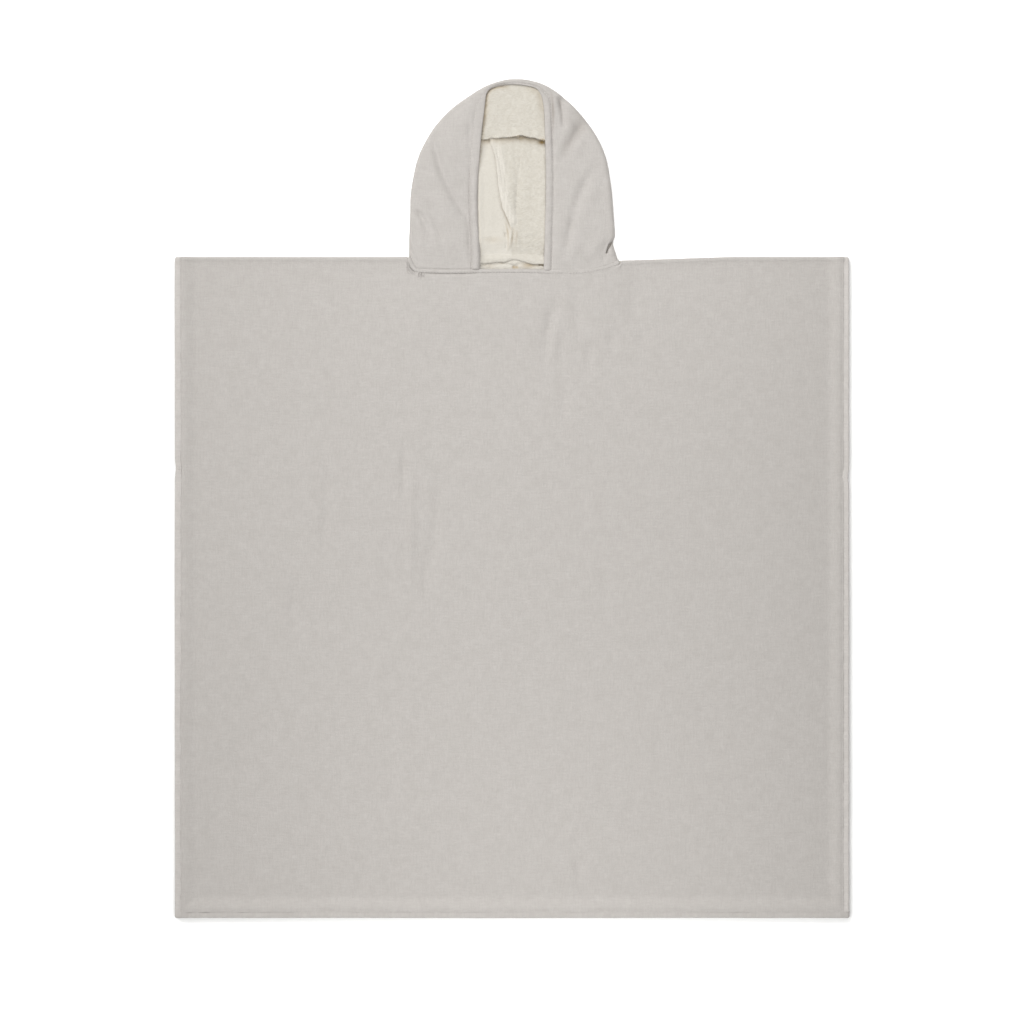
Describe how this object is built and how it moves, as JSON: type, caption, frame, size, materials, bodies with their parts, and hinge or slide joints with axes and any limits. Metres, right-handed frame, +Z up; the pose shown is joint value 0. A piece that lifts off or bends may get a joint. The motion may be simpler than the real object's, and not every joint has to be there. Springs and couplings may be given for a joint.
{
  "type": "hooded bath poncho",
  "caption": "Square hooded bath poncho in double-faced cloth, laid flat on its back with the hood spread above the shoulders and its face opening up.",
  "frame": {"origin": "middle of the footprint, on the surface that the poncho lies on", "axes": "+Y from the bottom hem towards the top of the hood, +X towards the viewer's right when seen from above, +Z up from the surface through the cloth"},
  "size_m": [0.8, 0.995, 0.0116],
  "materials": {
    "woven_grey_cloth": "double-faced cloth, a fine warm grey plain weave outside and ecru loops inside",
    "grey_band_cloth": "narrow topstitched band of the same warm grey weave"
  },
  "bodies": {
    "root": {"body_back": "woven_grey_cloth", "body_front": "woven_grey_cloth", "hood": "woven_grey_cloth", "neck_band": "grey_band_cloth"}
  },
  "joints": []
}
